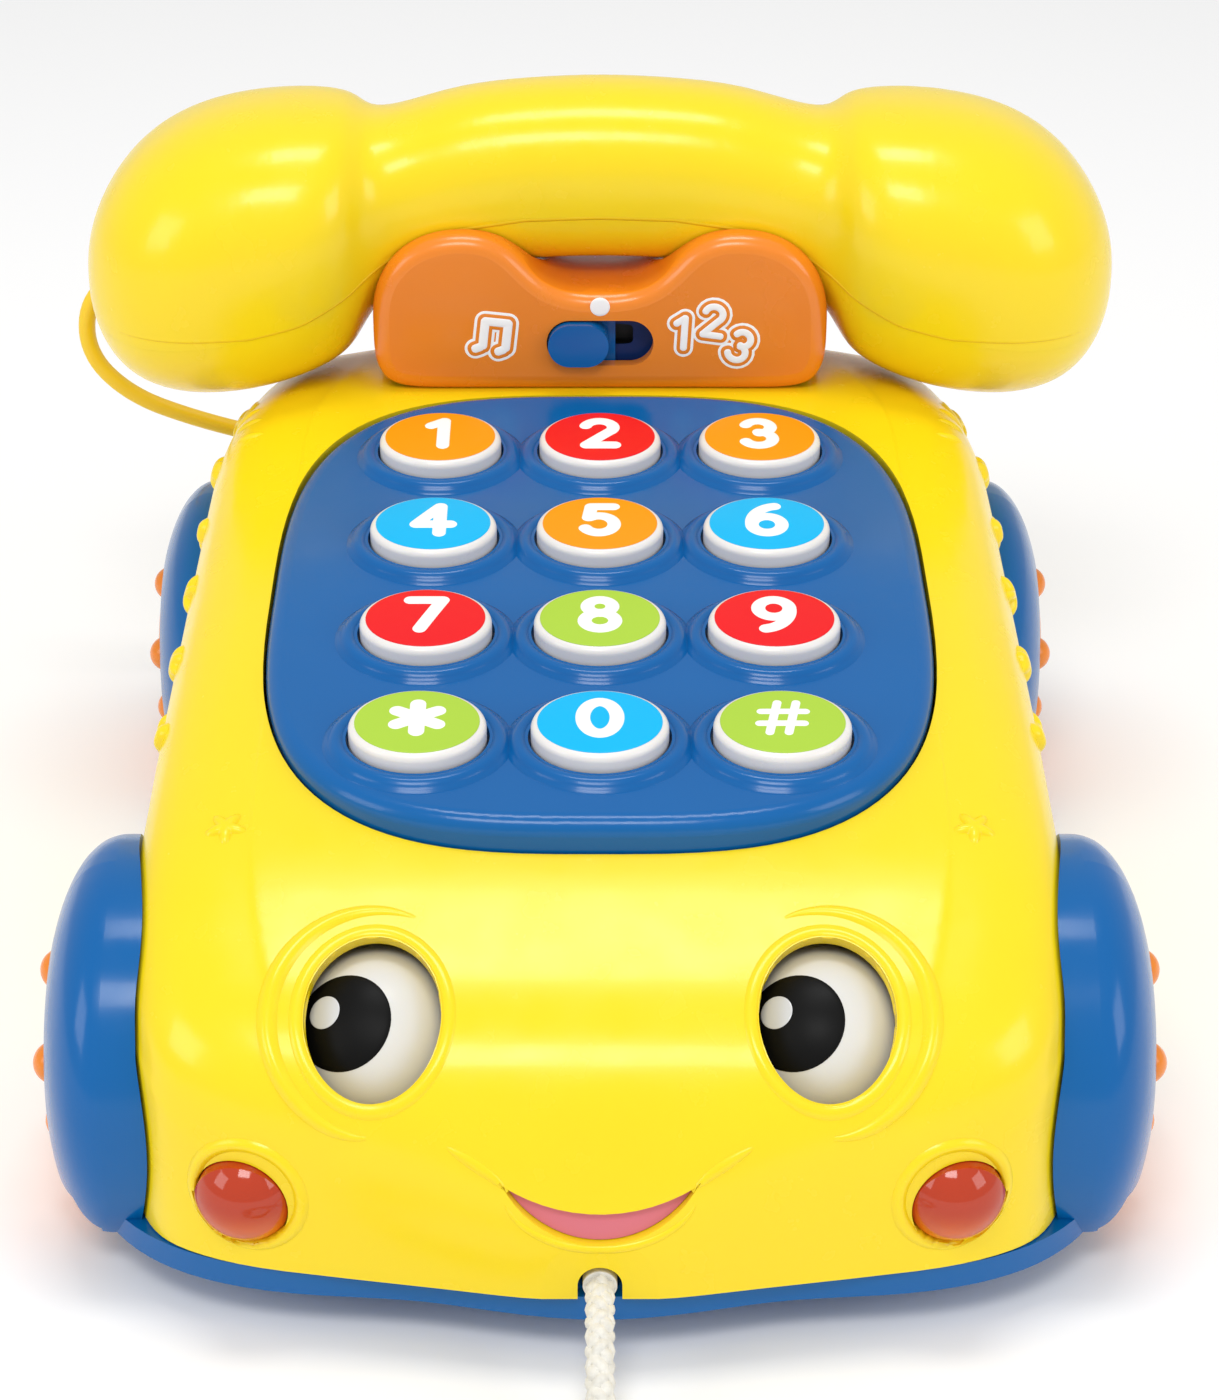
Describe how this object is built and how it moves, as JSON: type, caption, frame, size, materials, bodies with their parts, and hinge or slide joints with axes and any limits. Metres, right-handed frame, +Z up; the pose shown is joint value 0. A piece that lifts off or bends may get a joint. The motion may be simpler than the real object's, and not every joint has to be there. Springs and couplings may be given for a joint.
{
  "type": "pull-along toy telephone",
  "caption": "Car-shaped pull-along toy telephone with a sloping keypad, lift-off handset in a cradle, turning eyes, rolling wheels and a pull cord.",
  "frame": {"origin": "on the floor under the middle of the toy's outline, cords left out", "axes": "+Y from the smiling front to the rear, +X to the right seen from the front, +Z up"},
  "size_m": [0.1778, 0.2855, 0.1227],
  "materials": {
    "yellow_plastic": "glossy ABS",
    "blue_plastic": "glossy ABS",
    "orange_plastic": "glossy ABS",
    "white_plastic": "satin acetal",
    "key_white": "satin ABS with a printed top",
    "eye_white": "glossy, pad-printed pupil",
    "amber_lens": "translucent polystyrene",
    "pink_plastic": "satin ABS",
    "black_plastic": "matt",
    "grey_rubber": "silicone",
    "board_green": "solder mask",
    "cell_jacket": "printed jacket",
    "spring_steel": "nickel plated",
    "steel": "zinc plated",
    "speaker_metal": "pressed steel",
    "led": "epoxy",
    "yellow_cord": "soft PVC",
    "white_rope": "braided polyester"
  },
  "bodies": {
    "base": {"top_shell": "yellow_plastic", "chassis_base": "blue_plastic", "battery_door": "blue_plastic", "battery_door_screw": "steel", "battery_cells": "cell_jacket", "battery_contacts": "spring_steel", "housing_screws": "steel", "speaker": "speaker_metal", "eye_bracket": "white_plastic", "headlight_lens_left": "amber_lens", "headlight_lens_right": "amber_lens", "headlight_leds": "led", "mouth_insert": "pink_plastic", "keypad_plate": "blue_plastic", "key_membrane": "grey_rubber", "circuit_board": "board_green", "cradle_panel": "orange_plastic", "slide_switch_body": "black_plastic", "handset_cord": "yellow_cord", "body_cord_gland": "yellow_cord", "pull_cord": "white_rope", "pull_cord_coil": "white_rope", "pull_cord_anchor": "white_rope", "pull_cord_knot": "white_rope"},
    "front_wheelset": {"front_axle": "steel", "wheel_front_left": "orange_plastic", "wheel_front_right": "orange_plastic", "eye_swash_disc": "white_plastic"},
    "rear_wheelset": {"rear_axle": "steel", "wheel_rear_left": "orange_plastic", "wheel_rear_right": "orange_plastic"},
    "eye_left": {"eye_left": "eye_white"},
    "eye_right": {"eye_right": "eye_white"},
    "eye_link": {"eye_link": "white_plastic"},
    "switch_knob": {"switch_knob": "blue_plastic"},
    "handset": {"handset_upper_shell": "yellow_plastic", "handset_lower_shell": "yellow_plastic", "handset_screws": "steel", "handset_cord_gland": "yellow_cord"},
    "key_1": {"key_1": "key_white"},
    "key_2": {"key_2": "key_white"},
    "key_3": {"key_3": "key_white"},
    "key_4": {"key_4": "key_white"},
    "key_5": {"key_5": "key_white"},
    "key_6": {"key_6": "key_white"},
    "key_7": {"key_7": "key_white"},
    "key_8": {"key_8": "key_white"},
    "key_9": {"key_9": "key_white"},
    "key_star": {"key_star": "key_white"},
    "key_0": {"key_0": "key_white"},
    "key_hash": {"key_hash": "key_white"}
  },
  "joints": [
    {"name": "handset_lift", "type": "slide", "parent": "base", "child": "handset", "axis": [0, 0, 1], "range_m": [0, 0.08]},
    {"name": "front_wheels_roll", "type": "hinge", "parent": "base", "child": "front_wheelset", "pos_m": [0, -0.0555, 0.023], "axis": [1, 0, 0], "continuous": true},
    {"name": "rear_wheels_roll", "type": "hinge", "parent": "base", "child": "rear_wheelset", "pos_m": [0, 0.0702, 0.023], "axis": [1, 0, 0], "continuous": true},
    {"name": "eye_right_turn", "type": "hinge", "parent": "base", "child": "eye_right", "pos_m": [0.0293, -0.0739, 0.0331], "axis": [0, 0.766, 0.6428], "range_deg": [0, 30]},
    {"name": "eye_left_turn", "type": "hinge", "parent": "base", "child": "eye_left", "pos_m": [-0.0293, -0.0739, 0.0331], "axis": [0, 0.766, 0.6428], "range_deg": [0, 30]},
    {"name": "eye_link_slide", "type": "slide", "parent": "base", "child": "eye_link", "axis": [1, 0, 0], "range_m": [-0.0089, 0]},
    {"name": "switch_slide", "type": "slide", "parent": "base", "child": "switch_knob", "axis": [1, 0, 0], "range_m": [0, 0.007]},
    {"name": "key_1_press", "type": "slide", "parent": "base", "child": "key_1", "axis": [0, 0.1392, -0.9903], "range_m": [0, 0.002], "stiffness_N_per_m": 300},
    {"name": "key_2_press", "type": "slide", "parent": "base", "child": "key_2", "axis": [0, 0.1392, -0.9903], "range_m": [0, 0.002], "stiffness_N_per_m": 300},
    {"name": "key_3_press", "type": "slide", "parent": "base", "child": "key_3", "axis": [0, 0.1392, -0.9903], "range_m": [0, 0.002], "stiffness_N_per_m": 300},
    {"name": "key_4_press", "type": "slide", "parent": "base", "child": "key_4", "axis": [0, 0.1392, -0.9903], "range_m": [0, 0.002], "stiffness_N_per_m": 300},
    {"name": "key_5_press", "type": "slide", "parent": "base", "child": "key_5", "axis": [0, 0.1392, -0.9903], "range_m": [0, 0.002], "stiffness_N_per_m": 300},
    {"name": "key_6_press", "type": "slide", "parent": "base", "child": "key_6", "axis": [0, 0.1392, -0.9903], "range_m": [0, 0.002], "stiffness_N_per_m": 300},
    {"name": "key_7_press", "type": "slide", "parent": "base", "child": "key_7", "axis": [0, 0.1392, -0.9903], "range_m": [0, 0.002], "stiffness_N_per_m": 300},
    {"name": "key_8_press", "type": "slide", "parent": "base", "child": "key_8", "axis": [0, 0.1392, -0.9903], "range_m": [0, 0.002], "stiffness_N_per_m": 300},
    {"name": "key_9_press", "type": "slide", "parent": "base", "child": "key_9", "axis": [0, 0.1392, -0.9903], "range_m": [0, 0.002], "stiffness_N_per_m": 300},
    {"name": "key_star_press", "type": "slide", "parent": "base", "child": "key_star", "axis": [0, 0.1392, -0.9903], "range_m": [0, 0.002], "stiffness_N_per_m": 300},
    {"name": "key_0_press", "type": "slide", "parent": "base", "child": "key_0", "axis": [0, 0.1392, -0.9903], "range_m": [0, 0.002], "stiffness_N_per_m": 300},
    {"name": "key_hash_press", "type": "slide", "parent": "base", "child": "key_hash", "axis": [0, 0.1392, -0.9903], "range_m": [0, 0.002], "stiffness_N_per_m": 300}
  ],
  "couplings": [
    {"joint": "eye_left_turn", "follows": "eye_right_turn", "ratio": 1},
    {"joint": "eye_link_slide", "follows": "eye_right_turn", "m_per_rad": -0.016806}
  ]
}
